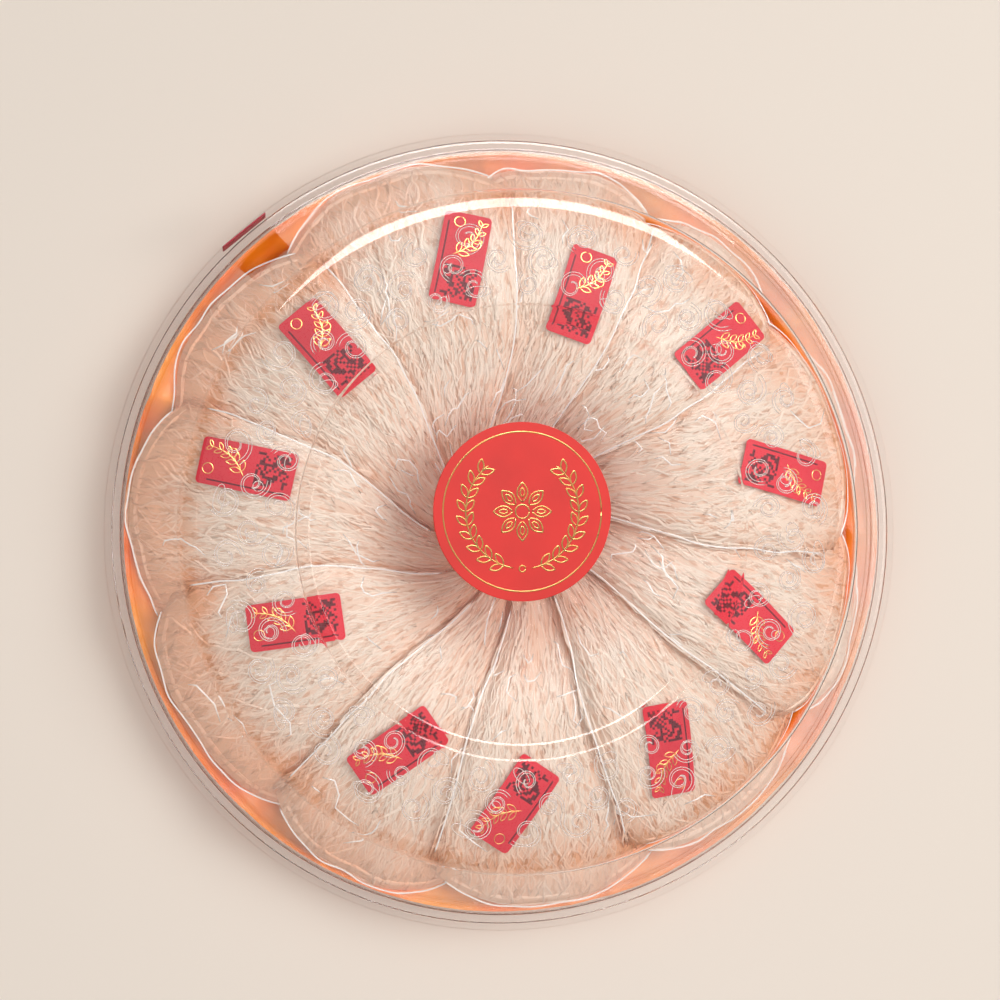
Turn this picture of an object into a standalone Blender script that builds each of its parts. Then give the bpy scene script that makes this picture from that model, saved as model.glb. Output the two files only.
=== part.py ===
"""Round clear gift box of edible birds' nests, sealed, lying on its base.

A shallow clear tray holds a bed of satin. Nests of pale strands lie on it in
a pinwheel: each one is tucked under the next along one side and lies over the
one before along the other. A clear domed lid closes the tray flange to flange.
Every nest carries a small label, the lid a round sticker, and a paper seal
joins lid and tray at the rim. Metres, +Z up, origin under the middle.
"""

import math
import random

import bmesh
import bpy
from mathutils import Vector

# Box
RIM_RADIUS = 0.130
FLANGE_WIDTH = 0.0055
LID_RIM_RADIUS = 0.1276
SHEET = 0.0008
GAP = 0.0003
TRAY_DEPTH = 0.0175
TRAY_DRAFT = 0.0040
LID_TOP = 0.062
SHOULDER_RADIUS = 0.1062
SHOULDER_FILLET = 0.0085
FOOT_FILLET = 0.003
RING_OUTER = 0.0715
RING_INNER = 0.0671
RING_DROP = 0.0062
ROUND_STEPS = 40

# Satin bed: flat in the middle, with a pleated lip that climbs the tray's wall
BED_TOP = 0.010
BED_LIP_START = 0.098
BED_LIP_RADIUS = 0.1220
BED_LIP_RISE = 0.0062
BED_WALL_CLEARANCE = 0.0006
PLEAT_DEPTH = 0.0014
PLEATS = 20

# Nests, as seen from above. Each row: the angle of the raised edge at mid length, how far
# that edge curls round near the middle of the box, and the radius of the outer end.
NESTS = (
    (90.4, 24.0, 0.1205),
    (125.4, 18.0, 0.1190),
    (158.2, 28.0, 0.1205),
    (190.2, 28.0, 0.1195),
    (228.1, 20.0, 0.1205),
    (257.2, 20.0, 0.1200),
    (291.5, 20.0, 0.1185),
    (325.7, 16.0, 0.1180),
    (356.5, 24.0, 0.1165),
    (36.0, 16.0, 0.1160),
    (64.1, 12.0, 0.1180),
)
NEST_INNER = 0.020
NEST_THICKNESS = 0.0040
NEST_RISE = 0.022
NEST_TILT = 0.0102
NEST_TILT_AT_END = 0.45
NEST_CROWN = 0.0030
NEST_LIP_POWER = 6
NEST_OVERLAP = 0.011
NEST_MOST_OVERLAP = math.radians(12)
NEST_CORNER = 0.010
CURL_START = 0.072
CURL_POWER = 2.4
RIDGE = 0.0004
RAGGED_END = 0.0014
NEST_COLUMNS = 14
NEST_ROWS = 7

# Labels, one on each nest. Each row: the radius of the label's middle, its angle past the
# raised edge, and how far its long side is turned from the radius.
LABEL_LENGTH = 0.030
LABEL_WIDTH = 0.015
LABEL_THICKNESS = 0.0003
LABELS = (
    (0.089, 11.0, -24.7),
    (0.084, 10.5, -6.2),
    (0.088, 8.6, 1.0),
    (0.076, 11.9, -13.9),
    (0.079, 13.2, -26.4),
    (0.087, 12.7, -33.3),
    (0.086, 14.1, -26.6),
    (0.081, 14.6, -23.4),
    (0.090, 15.8, -27.0),
    (0.090, 6.0, -4.5),
    (0.079, 10.3, -4.7),
)

# Sticker on the lid, and the seal: it stands on the tray's flange against the lid's narrower one
STICKER_RADIUS = 0.0283
STICKER_CENTRE = (0.0003, 0.0064)
SEAL_ANGLE = math.radians(131.5)
SEAL_LENGTH = 0.0176
SEAL_HEIGHT = 0.0085
SEAL_THICKNESS = 0.0004
SEAL_LEAN = math.radians(6)
SEAL_TURN = math.radians(2)
SEAL_CLEARANCE = 0.0007

FLANGE_RADIUS = RIM_RADIUS - FLANGE_WIDTH
TRAY_FLOOR_RADIUS = FLANGE_RADIUS - TRAY_DRAFT
LID_FLANGE_TOP = TRAY_DEPTH + SHEET + GAP + SHEET


def clear_scene():
    for obj in list(bpy.data.objects):
        bpy.data.objects.remove(obj, do_unlink=True)


def material(name, colour, roughness, transmission=0.0):
    made = bpy.data.materials.new(name)
    made.use_nodes = True
    made.diffuse_color = (*colour, 1.0)
    shader = made.node_tree.nodes["Principled BSDF"]
    shader.inputs["Base Color"].default_value = (*colour, 1.0)
    shader.inputs["Roughness"].default_value = roughness
    shader.inputs["Metallic"].default_value = 0.0
    shader.inputs["Transmission Weight"].default_value = transmission
    return made


def add_object(name, mesh, look):
    obj = bpy.data.objects.new(name, mesh)
    mesh.materials.append(look)
    bpy.data.collections["birds_nest_box"].objects.link(obj)
    return obj


def mesh_of(name, shape):
    mesh = bpy.data.meshes.new(name)
    shape.to_mesh(mesh)
    shape.free()
    return mesh


def solidify(obj, thickness, offset=-1.0):
    shell = obj.modifiers.new("Solidify", "SOLIDIFY")
    shell.thickness = thickness
    shell.offset = offset
    shell.use_even_offset = True


def smooth(obj, sharp_angle=40):
    obj.data.shade_smooth()
    obj.data.set_sharp_from_angle(angle=math.radians(sharp_angle))


def filleted(before, corner, after, radius, steps):
    """Points of the arc of this radius that rounds the corner between two straight runs."""
    corner = Vector(corner)
    back = (Vector(before) - corner).normalized()
    on = (Vector(after) - corner).normalized()
    half = back.angle(on) / 2
    centre = corner + (back + on).normalized() * (radius / math.sin(half))
    start = corner + back * (radius / math.tan(half)) - centre
    end = corner + on * (radius / math.tan(half)) - centre
    return [tuple(centre + start.slerp(end, i / steps) * radius) for i in range(steps + 1)]


def turned(name, profile, look, steps=ROUND_STEPS):
    """Surface of revolution about Z of (radius, height) points, listed from the top down."""
    shape = bmesh.new()
    points = [shape.verts.new((radius, 0, height)) for radius, height in profile]
    for first, second in zip(points, points[1:]):
        shape.edges.new((first, second))
    obj = add_object(name, mesh_of(name, shape), look)
    screw = obj.modifiers.new("Screw", "SCREW")
    screw.axis = "Z"
    screw.angle = math.tau
    screw.steps = steps
    screw.render_steps = steps
    screw.use_merge_vertices = True
    screw.merge_threshold = 0.00001
    screw.use_smooth_shade = True
    return obj


def make_tray(look):
    rim = (RIM_RADIUS, TRAY_DEPTH)
    foot = (FLANGE_RADIUS, TRAY_DEPTH)
    corner = (TRAY_FLOOR_RADIUS, 0)
    profile = [rim, foot]
    profile += filleted(foot, corner, (0, 0), FOOT_FILLET, 3)
    profile.append((0, 0))
    tray = turned("tray", profile, look)
    solidify(tray, SHEET)


def make_lid(look):
    """Recessed middle, ring, flat top, rounded shoulder, sloping wall, flange."""
    shoulder = (SHOULDER_RADIUS, LID_TOP)
    foot = (FLANGE_RADIUS, LID_FLANGE_TOP)
    rim = (LID_RIM_RADIUS, LID_FLANGE_TOP)
    profile = [(0, LID_TOP - RING_DROP), (RING_INNER, LID_TOP - RING_DROP), (RING_OUTER, LID_TOP)]
    profile += filleted(profile[-1], shoulder, foot, SHOULDER_FILLET, 4)
    profile += filleted(shoulder, foot, rim, FOOT_FILLET, 2)
    profile.append(rim)
    lid = turned("lid", profile, look)
    solidify(lid, SHEET)


def smooth_step(x):
    x = min(max(x, 0.0), 1.0)
    return x * x * (3 - 2 * x)


def bed_height(radius):
    climb = (radius - BED_LIP_START) / (BED_LIP_RADIUS - BED_LIP_START)
    return BED_TOP + BED_LIP_RISE * smooth_step(climb)


def make_lining(look):
    """The satin bed: a turned cushion whose lip is then pleated downwards."""
    floor = SHEET + GAP
    radii = [0.0, 0.060, 0.098, 0.107, 0.113, 0.118, BED_LIP_RADIUS]
    profile = [(radius, bed_height(radius)) for radius in radii]
    profile.append((TRAY_FLOOR_RADIUS - BED_WALL_CLEARANCE - 0.0010, floor + 0.003))
    profile.append((TRAY_FLOOR_RADIUS - FOOT_FILLET, floor))
    profile.append((0, floor))
    guide = turned("lining_guide", profile, look)
    graph = bpy.context.evaluated_depsgraph_get()
    mesh = bpy.data.meshes.new_from_object(guide.evaluated_get(graph))
    bpy.data.objects.remove(guide, do_unlink=True)
    for vertex in mesh.vertices:
        radius = math.hypot(vertex.co.x, vertex.co.y)
        if vertex.co.z < BED_TOP - GAP:
            continue
        turn = math.atan2(vertex.co.y, vertex.co.x)
        wave = 0.5 - 0.5 * math.cos(PLEATS * turn + 1.1 * math.sin(3 * turn))
        vertex.co.z -= PLEAT_DEPTH * wave * smooth_step((radius - 0.095) / 0.020)
    mesh.materials.clear()
    return add_object("lining", mesh, look)


def lead_angle(index, radius):
    """Angle of a nest's raised edge at this radius; past the last nest comes the first again."""
    angle, curl, _ = NESTS[index % len(NESTS)]
    turns = math.tau * (index // len(NESTS))
    lap = math.tau if angle < NESTS[0][0] else 0.0
    reach = max(CURL_START - radius, 0) / (CURL_START - NEST_INNER)
    return math.radians(angle) + lap + turns + math.radians(curl) * reach**CURL_POWER


def trail_angle(index, radius):
    """The tucked edge runs a little way under the next nest's raised edge."""
    return lead_angle(index + 1, radius) + min(NEST_OVERLAP / radius, NEST_MOST_OVERLAP)


def end_radius(index, across):
    """The outer end is a blunt curve: full length in the middle, shorter at both corners."""
    return NESTS[index][2] - NEST_CORNER * abs(2 * across - 1) ** 3


def nest_height(index, radius, across):
    """Smooth top of a nest: an arch from end to end, highest along its raised edge."""
    along = (radius - NEST_INNER) / (NESTS[index][2] - NEST_INNER)
    along = min(max(along, 0.0), 1.0)
    bow = math.sin(math.pi * along)
    arch = NEST_RISE * bow + NEST_CROWN * bow * 4 * across * (1 - across)
    tilt = NEST_TILT * (1 - NEST_TILT_AT_END * along**4) * (1 - across)
    rest = BED_TOP + BED_LIP_RISE * along**NEST_LIP_POWER + GAP + NEST_THICKNESS + RIDGE
    return rest + arch + tilt


def nest_point(index, radius, across):
    turn = lead_angle(index, radius)
    turn += across * (trail_angle(index, radius) - turn)
    height = nest_height(index, radius, across)
    return Vector((radius * math.cos(turn), radius * math.sin(turn), height))


def make_nest(index, look):
    """A grid bent into the nest's shell, with ridges of strands along it and ragged ends."""
    uneven = random.Random(index)
    ragged = [uneven.uniform(-RAGGED_END, 0) for _ in range(NEST_COLUMNS + 1)]
    shape = bmesh.new()
    bmesh.ops.create_grid(shape, x_segments=NEST_COLUMNS, y_segments=NEST_ROWS, size=0.5)
    for vertex in shape.verts:
        across = vertex.co.x + 0.5
        along = vertex.co.y + 0.5
        column = round(across * NEST_COLUMNS)
        end = end_radius(index, across) + ragged[column]
        radius = NEST_INNER + along * (end - NEST_INNER)
        vertex.co = nest_point(index, radius, across)
        vertex.co.z += RIDGE * (1 if column % 2 else -1)
    bmesh.ops.recalc_face_normals(shape, faces=shape.faces)
    bmesh.ops.reverse_faces(shape, faces=shape.faces)
    name = f"nest_{index + 1:02d}"
    nest = add_object(name, mesh_of(name, shape), look)
    solidify(nest, NEST_THICKNESS)
    smooth(nest)


def across_at(index, x, y):
    radius = math.hypot(x, y)
    lead = lead_angle(index, radius)
    span = trail_angle(index, radius) - lead
    past = (math.atan2(y, x) - lead + math.pi) % math.tau - math.pi
    return radius, past / span


def make_label(index, look):
    """A rectangle laid on its nest, bent to the nest's smooth top and clear of the ridges."""
    radius, past, turned_by = LABELS[index]
    middle = lead_angle(index, radius) + math.radians(past)
    long_way = middle + math.radians(turned_by)
    centre = Vector((radius * math.cos(middle), radius * math.sin(middle)))
    along = Vector((math.cos(long_way), math.sin(long_way)))
    side = Vector((-along.y, along.x))
    shape = bmesh.new()
    bmesh.ops.create_grid(shape, x_segments=6, y_segments=3, size=0.5)
    for vertex in shape.verts:
        spot = centre + along * (vertex.co.x * LABEL_LENGTH) + side * (vertex.co.y * LABEL_WIDTH)
        height = nest_height(index, *across_at(index, spot.x, spot.y))
        vertex.co = (spot.x, spot.y, height + RIDGE + GAP + LABEL_THICKNESS)
    name = f"label_{index + 1:02d}"
    label = add_object(name, mesh_of(name, shape), look)
    solidify(label, LABEL_THICKNESS)


def make_sticker(look):
    shape = bmesh.new()
    bmesh.ops.create_cone(
        shape,
        cap_ends=True,
        segments=ROUND_STEPS,
        radius1=STICKER_RADIUS,
        radius2=STICKER_RADIUS,
        depth=LABEL_THICKNESS,
    )
    sticker = add_object("sticker", mesh_of("sticker", shape), look)
    height = LID_TOP - RING_DROP + GAP + LABEL_THICKNESS / 2
    sticker.location = (*STICKER_CENTRE, height)


def make_seal(look):
    """A strip that stands on the tray's flange at a tangent, its top leaning a little outwards."""
    shape = bmesh.new()
    bmesh.ops.create_cube(shape, size=1.0)
    size = (SEAL_THICKNESS, SEAL_LENGTH, SEAL_HEIGHT)
    bmesh.ops.scale(shape, vec=size, verts=shape.verts)
    seal = add_object("seal", mesh_of("seal", shape), look)
    out = LID_RIM_RADIUS + SEAL_CLEARANCE + SEAL_HEIGHT / 2 * math.sin(SEAL_LEAN)
    middle = TRAY_DEPTH + SHEET + GAP + SEAL_HEIGHT / 2
    seal.location = (out * math.cos(SEAL_ANGLE), out * math.sin(SEAL_ANGLE), middle)
    seal.rotation_euler = (0, SEAL_LEAN, SEAL_ANGLE - SEAL_TURN)


def build():
    clear_scene()
    collection = bpy.data.collections.new("birds_nest_box")
    bpy.context.scene.collection.children.link(collection)
    clear = material("clear_plastic", (0.93, 0.92, 0.90), 0.05, transmission=1.0)
    satin = material("gold_satin", (0.85, 0.42, 0.05), 0.35)
    strands = material("nest_strands", (0.80, 0.64, 0.52), 0.45)
    red_label = material("label_paper", (0.62, 0.03, 0.06), 0.40)
    red_sticker = material("sticker_paper", (0.70, 0.05, 0.04), 0.40)
    red_seal = material("seal_paper", (0.50, 0.02, 0.05), 0.45)
    make_tray(clear)
    make_lid(clear)
    make_lining(satin)
    for index in range(len(NESTS)):
        make_nest(index, strands)
        make_label(index, red_label)
    make_sticker(red_sticker)
    make_seal(red_seal)


build()
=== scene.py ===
"""Looks of the sealed gift box of edible birds' nests: strands, film, satin, clear plastic, paper.

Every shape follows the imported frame. The box's profile and the law that places the nests are
repeated from the part, in metres, +Z up, origin under the middle of the box.
"""

import math

import bpy
import mathutils
import numpy as np
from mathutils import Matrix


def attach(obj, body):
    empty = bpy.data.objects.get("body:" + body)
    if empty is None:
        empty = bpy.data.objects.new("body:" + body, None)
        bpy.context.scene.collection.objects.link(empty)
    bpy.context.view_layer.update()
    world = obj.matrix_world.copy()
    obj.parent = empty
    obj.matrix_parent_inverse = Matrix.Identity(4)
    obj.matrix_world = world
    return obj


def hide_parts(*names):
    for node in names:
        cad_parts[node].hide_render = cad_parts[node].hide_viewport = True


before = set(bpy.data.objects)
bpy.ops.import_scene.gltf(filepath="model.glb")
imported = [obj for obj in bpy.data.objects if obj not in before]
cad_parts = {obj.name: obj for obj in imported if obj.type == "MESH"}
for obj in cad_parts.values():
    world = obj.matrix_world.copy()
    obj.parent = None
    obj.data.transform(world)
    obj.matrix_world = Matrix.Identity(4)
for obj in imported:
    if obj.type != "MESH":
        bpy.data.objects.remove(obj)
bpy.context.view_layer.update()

# Camera: looks down on the box from a little to the left, as far off as the photograph's
YAW = math.radians(7.8)
CAMERA_DISTANCE = 1.1
FIELD_WIDTH = 0.3266
AIM_HEIGHT = 0.017
SENSOR = 36.0
SHIFT = (-0.0045, 0.032)

# Box, as in the part
RIM_RADIUS = 0.130
LID_RIM_RADIUS = 0.1276
FLANGE_RADIUS = 0.1245
SHEET = 0.0008
GAP = 0.0003
TRAY_DEPTH = 0.0175
TRAY_FLOOR_RADIUS = 0.1205
LID_FLANGE_TOP = TRAY_DEPTH + SHEET + GAP + SHEET
LID_TOP = 0.062
SHOULDER_RADIUS = 0.1062
SHOULDER_FILLET = 0.0085
FOOT_FILLET = 0.003
RING_OUTER = 0.0715
RING_INNER = 0.0671
RING_DROP = 0.0062
RING_FILLET = 0.0016
ROUND_STEPS = 200

# Satin bed, as in the part, with real folds in its lip: waves round it, depth and turn of each
BED_TOP = 0.010
BED_LIP_START = 0.098
BED_LIP_RADIUS = 0.1220
BED_LIP_RISE = 0.0062
BED_STEPS = 540
BED_FOLDS = ((26, 0.0015, 1), (43, 0.0009, 2), (71, 0.0005, 3))

# Nests, as in the part: angle of the raised edge, its curl, radius of the outer end
NESTS = (
    (90.4, 24.0, 0.1205),
    (125.4, 18.0, 0.1190),
    (158.2, 28.0, 0.1205),
    (190.2, 28.0, 0.1195),
    (228.1, 20.0, 0.1205),
    (257.2, 20.0, 0.1200),
    (291.5, 20.0, 0.1185),
    (325.7, 16.0, 0.1180),
    (356.5, 24.0, 0.1165),
    (36.0, 16.0, 0.1160),
    (64.1, 12.0, 0.1180),
)
NEST_INNER = 0.020
NEST_THICKNESS = 0.0040
NEST_RISE = 0.022
NEST_TILT = 0.0102
NEST_TILT_AT_END = 0.45
NEST_CROWN = 0.0030
NEST_LIP_POWER = 6
NEST_OVERLAP = 0.011
NEST_MOST_OVERLAP = math.radians(12)
NEST_CORNER = 0.010
CURL_START = 0.072
CURL_POWER = 2.4
RIDGE = 0.0004

# Strands of a nest: most run its length, some roll round its raised edge and its outer end
STRANDS = 430
EDGE_STRANDS = 36
END_STRANDS = 26
STRAND_POINTS = 15
FINE_HALF_WIDTH = (0.00011, 0.00020)
THICK_HALF_WIDTH = (0.00024, 0.00046)
THICK_SHARE = 0.4
STRAND_FLATNESS = 0.42
STRAND_LAYERS = 0.0006
PLEAT_DEPTH = 0.0012
LUMP_DEPTH = 0.0005
WEB_DEPTH = 0.0004
WEB_ROWS = 50
WEB_COLUMNS = 46
EDGE_ROUND = 0.006
EDGE_DROP = 0.0026
REACH = 1.022
NEST_LENGTH = 0.100
NEST_WIDTH = 0.052
# Width of the painted contact shade beside a raised edge
CONTACT_SHADE_WIDTH = 0.0042
RAGGED = 0.0013
SHORTER = 0.0006

# Film sleeve round a nest
FILM_ROWS = 52
FILM_COLUMNS = 38
FILM_LIFT = 0.0002
CREASE_HALF_WIDTH = 0.00024
CREASE_HEIGHT = 0.00010
CREASES = 18

# Labels, as in the part: radius of the middle, angle past the raised edge, turn of the long side
LABEL_LENGTH = 0.030
LABEL_WIDTH = 0.015
LABEL_THICKNESS = 0.0003
LABEL_CORNER = 0.0014
FOIL_LIFT = 0.00003
LABEL_FOIL = (0.00013, 0.00007)
STICKER_FOIL = (0.00022, 0.00008)
LABELS = (
    (0.089, 11.0, -24.7),
    (0.084, 10.5, -6.2),
    (0.088, 8.6, 1.0),
    (0.076, 11.9, -13.9),
    (0.079, 13.2, -26.4),
    (0.087, 12.7, -33.3),
    (0.086, 14.1, -26.6),
    (0.081, 14.6, -23.4),
    (0.090, 15.8, -27.0),
    (0.090, 6.0, -4.5),
    (0.079, 10.3, -4.7),
)

# Sticker and seal, as in the part
STICKER_RADIUS = 0.0283
STICKER_CENTRE = (0.0003, 0.0064)
SEAL_ANGLE = math.radians(131.5)
SEAL_LENGTH = 0.0176
SEAL_HEIGHT = 0.0085
SEAL_THICKNESS = 0.0004
SEAL_LEAN = math.radians(6)
SEAL_TURN = math.radians(2)
SEAL_CLEARANCE = 0.0007

# Embossed scrolls on the lid's flat band
SCROLL_CELLS = 34
SCROLL_MIDDLE = 0.0855
SCROLL_BAND = 0.026
SCROLL_ROW = 0.0078
SCROLL_HALF_WIDTH = 0.00012
SCROLL_HEIGHT = 0.00012

UP = np.array((0.0, 0.0, 1.0))


def smooth_step(x):
    x = np.clip(x, 0.0, 1.0)
    return x * x * (3 - 2 * x)


def lattice_noise(x, y, seed):
    """Smooth noise from -1 to 1: random values at whole numbers, eased from one to the next."""
    size = 97
    grid = np.random.default_rng(seed).uniform(-1, 1, (size, size))
    x, y = np.broadcast_arrays(np.asarray(x, float), np.asarray(y, float))
    column = np.floor(x).astype(int)
    row = np.floor(y).astype(int)
    ease_x = smooth_step(x - column)
    ease_y = smooth_step(y - row)
    left, right = column % size, (column + 1) % size
    lower, upper = row % size, (row + 1) % size
    low = grid[left, lower] * (1 - ease_x) + grid[right, lower] * ease_x
    high = grid[left, upper] * (1 - ease_x) + grid[right, upper] * ease_x
    return low * (1 - ease_y) + high * ease_y


def unit(vectors):
    return vectors / np.maximum(np.linalg.norm(vectors, axis=-1, keepdims=True), 1e-12)


def new_object(name, points, faces, look, sharp=None):
    """A smooth mesh; sharp is the angle in degrees past which an edge stays sharp."""
    mesh = bpy.data.meshes.new(name)
    mesh.from_pydata(np.asarray(points, float).tolist(), [], faces)
    mesh.validate()
    mesh.materials.append(look)
    mesh.shade_smooth()
    if sharp:
        mesh.set_sharp_from_angle(angle=math.radians(sharp))
    obj = bpy.data.objects.new(name, mesh)
    bpy.context.scene.collection.objects.link(obj)
    return obj


def grid_faces(rows, columns, offset=0, closed=False, flip=False):
    """Quads of a grid whose points run column by column within each row."""
    last = columns if closed else columns - 1
    row = np.arange(rows - 1)[:, None] * columns
    column = np.arange(last)[None, :]
    following = (column + 1) % columns
    corners = [row + column, row + following, row + columns + following, row + columns + column]
    quads = np.stack([np.broadcast_to(c, (rows - 1, last)) for c in corners], axis=-1)
    quads = quads.reshape(-1, 4) + offset
    return quads[:, ::-1] if flip else quads


def beads(paths, half_width, height, tip=0.3):
    """Closed three-sided beads along paths of shape (count, points, 3): flat below, raised above.

    Gives the points, the quads of the sides and the triangles that close the ends."""
    count, steps, _ = paths.shape
    tangent = unit(np.gradient(paths, axis=1))
    side = unit(np.cross(tangent, UP))
    up = np.cross(side, tangent)
    taper = np.ones(steps)
    taper[[0, -1]] = tip
    half_width = np.reshape(half_width, (-1, 1)) * taper
    height = np.reshape(height, (-1, 1)) * taper
    corners = [
        paths + side * half_width[..., None],
        paths - side * half_width[..., None],
        paths + up * height[..., None],
    ]
    points = np.stack(corners, axis=2).reshape(-1, 3)
    base = (np.arange(count)[:, None] * steps + np.arange(steps - 1)[None, :]).reshape(-1) * 3
    quads = []
    for first, second in ((0, 1), (1, 2), (2, 0)):
        ring = [base + first, base + second, base + 3 + second, base + 3 + first]
        quads.append(np.stack(ring, axis=-1))
    quads = np.stack(quads, axis=1).reshape(-1, 4)
    start = np.arange(count) * steps * 3
    end = start + (steps - 1) * 3
    caps = np.concatenate(
        [
            np.stack([start, start + 2, start + 1], axis=-1),
            np.stack([end, end + 1, end + 2], axis=-1),
        ]
    )
    return points, quads, caps


def bead_mesh(paths, half_width, height):
    """Points and faces of many beads; paths is a list of (points, 3) arrays of any lengths."""
    points, faces, offset = [], [], 0
    for path in paths:
        made, quads, caps = beads(path[None, :, :], half_width, height, tip=0.5)
        points.append(made)
        faces += (quads + offset).tolist() + (caps + offset).tolist()
        offset += len(made)
    return np.concatenate(points), faces


def bead_object(name, paths, half_width, height, look):
    points, faces = bead_mesh(paths, half_width, height)
    return new_object(name, points, faces, look, sharp=100)


# Shader nodes


def node(tree, kind, inputs=None, **settings):
    made = tree.nodes.new(kind)
    for key, value in settings.items():
        setattr(made, key, value)
    for key, value in (inputs or {}).items():
        if isinstance(value, bpy.types.NodeSocket):
            tree.links.new(value, made.inputs[key])
        else:
            made.inputs[key].default_value = value
    return made


def maths(tree, operation, first, second=0.0):
    return node(tree, "ShaderNodeMath", {0: first, 1: second}, operation=operation).outputs[0]


def mix_colour(tree, factor, first, second, blend="MIX"):
    made = node(tree, "ShaderNodeMix", data_type="RGBA", blend_type=blend)
    for slot, value in ((0, factor), (6, first), (7, second)):
        if isinstance(value, bpy.types.NodeSocket):
            tree.links.new(value, made.inputs[slot])
        else:
            made.inputs[slot].default_value = value
    return made.outputs[2]


def noise(tree, vector, scale, detail=2.0, roughness=0.5, stretch=None):
    if stretch:
        vector = node(tree, "ShaderNodeMapping", {"Vector": vector, "Scale": stretch}).outputs[0]
    inputs = {"Vector": vector, "Scale": scale, "Detail": detail, "Roughness": roughness}
    return node(tree, "ShaderNodeTexNoise", inputs).outputs[0]


def bump(tree, height, distance, strength=1.0, normal=None):
    inputs = {"Height": height, "Distance": distance, "Strength": strength}
    if normal:
        inputs["Normal"] = normal
    return node(tree, "ShaderNodeBump", inputs).outputs[0]


def remap(tree, value, low, high, to_low=0.0, to_high=1.0):
    inputs = {0: value, 1: low, 2: high, 3: to_low, 4: to_high}
    return node(tree, "ShaderNodeMapRange", inputs).outputs[0]


def rgb(red, green, blue):
    return (red, green, blue, 1.0)


def new_look(name, colour, roughness, **values):
    look = bpy.data.materials.new(name)
    look.use_nodes = True
    tree = look.node_tree
    shader = tree.nodes["Principled BSDF"]
    shader.inputs["Base Color"].default_value = colour
    shader.inputs["Roughness"].default_value = roughness
    for key, value in values.items():
        shader.inputs[key.replace("_", " ")].default_value = value
    place = node(tree, "ShaderNodeTexCoord").outputs["Object"]
    return look, tree, shader, place


def output_of(tree):
    return next(n for n in tree.nodes if n.type == "OUTPUT_MATERIAL")


def strand_look():
    """Dried strands: ivory, turning salmon by the tint attribute (the satin through thin ends, with
    painted shade and reflection), with painted shade in narrow holes along the flow.
    """
    ivory = rgb(0.93, 0.80, 0.69)
    look, tree, shader, place = new_look("strands", ivory, 0.5, Specular_IOR_Level=0.22)
    tint = node(tree, "ShaderNodeAttribute", attribute_name="tint").outputs["Fac"]
    shade = node(tree, "ShaderNodeAttribute", attribute_name="shade").outputs["Fac"]
    flow = node(tree, "ShaderNodeAttribute", attribute_name="flow").outputs["Vector"]
    streaks = noise(tree, flow, 1.0, 2.0, 0.6, stretch=(300.0, 1900.0, 5.0))
    # Painted shade: narrow holes along the flow, darker and warmer
    hole_shade = remap(tree, noise(tree, flow, 1.0, 1.0, stretch=(190.0, 700.0, 5.0)), 0.58, 0.64)
    patches = remap(tree, noise(tree, place, 75.0, 2.0), 0.46, 0.72, 0.0, 0.17)
    warm = maths(tree, "ADD", tint, maths(tree, "MULTIPLY", hole_shade, 0.36))
    warm = maths(tree, "MINIMUM", maths(tree, "ADD", warm, patches), 1.0)
    colour = mix_colour(tree, warm, rgb(0.94, 0.805, 0.695), rgb(0.93, 0.48, 0.29))
    value = maths(tree, "MULTIPLY", shade, remap(tree, streaks, 0.30, 0.70, 0.96, 1.03))
    value = maths(tree, "MULTIPLY", value, remap(tree, hole_shade, 0.0, 1.0, 1.0, 0.86))
    grey = node(tree, "ShaderNodeCombineColor", {0: value, 1: value, 2: value}).outputs[0]
    colour = mix_colour(tree, 1.0, colour, grey, "MULTIPLY")
    tree.links.new(colour, shader.inputs["Base Color"])
    tree.links.new(bump(tree, streaks, 0.00012, 0.5), shader.inputs["Normal"])
    return look


def satin_look():
    sheen = {"Sheen_Weight": 0.03, "Sheen_Roughness": 0.4, "Sheen_Tint": rgb(1.0, 0.62, 0.20)}
    look, tree, shader, place = new_look(
        "satin", rgb(0.92, 0.30, 0.02), 0.32, Specular_IOR_Level=0.3, Anisotropic=0.4, **sheen
    )
    broad = noise(tree, place, 35.0, 2.0)
    deep, light = rgb(0.88, 0.14, 0.002), rgb(0.96, 0.30, 0.006)
    tone = mix_colour(tree, remap(tree, broad, 0.35, 0.65), deep, light)
    tree.links.new(tone, shader.inputs["Base Color"])
    parts = node(tree, "ShaderNodeSeparateXYZ", {0: place})
    across = maths(tree, "SINE", maths(tree, "MULTIPLY", parts.outputs[0], math.tau / 0.00042))
    down = maths(tree, "SINE", maths(tree, "MULTIPLY", parts.outputs[1], math.tau / 0.00030))
    weave = maths(tree, "MULTIPLY", across, down)
    creases = bump(tree, noise(tree, place, 140.0, 3.0), 0.0007, 0.5)
    tree.links.new(bump(tree, weave, 0.00003, 0.5, creases), shader.inputs["Normal"])
    return look


def plastic_look(name, tint, painted_glint=0.0):
    """Clear plastic; for the embossed scrolls a white diffuse is mixed in, a painted highlight."""
    look, tree, shader, place = new_look(name, tint, 0.0, Transmission_Weight=1.0, IOR=1.42)
    waves = noise(tree, place, 28.0, 1.0)
    tree.links.new(bump(tree, waves, 0.0006, 0.05), shader.inputs["Normal"])
    if painted_glint:
        # Painted highlight: a lit white diffuse mixed into the clear plastic
        cloud_and_glint = node(tree, "ShaderNodeBsdfDiffuse", {"Color": rgb(0.95, 0.88, 0.84)}).outputs[0]
        inputs = {0: painted_glint, 1: shader.outputs[0], 2: cloud_and_glint}
        mixed = node(tree, "ShaderNodeMixShader", inputs).outputs[0]
        tree.links.new(mixed, output_of(tree).inputs[0])
    return look


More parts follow.
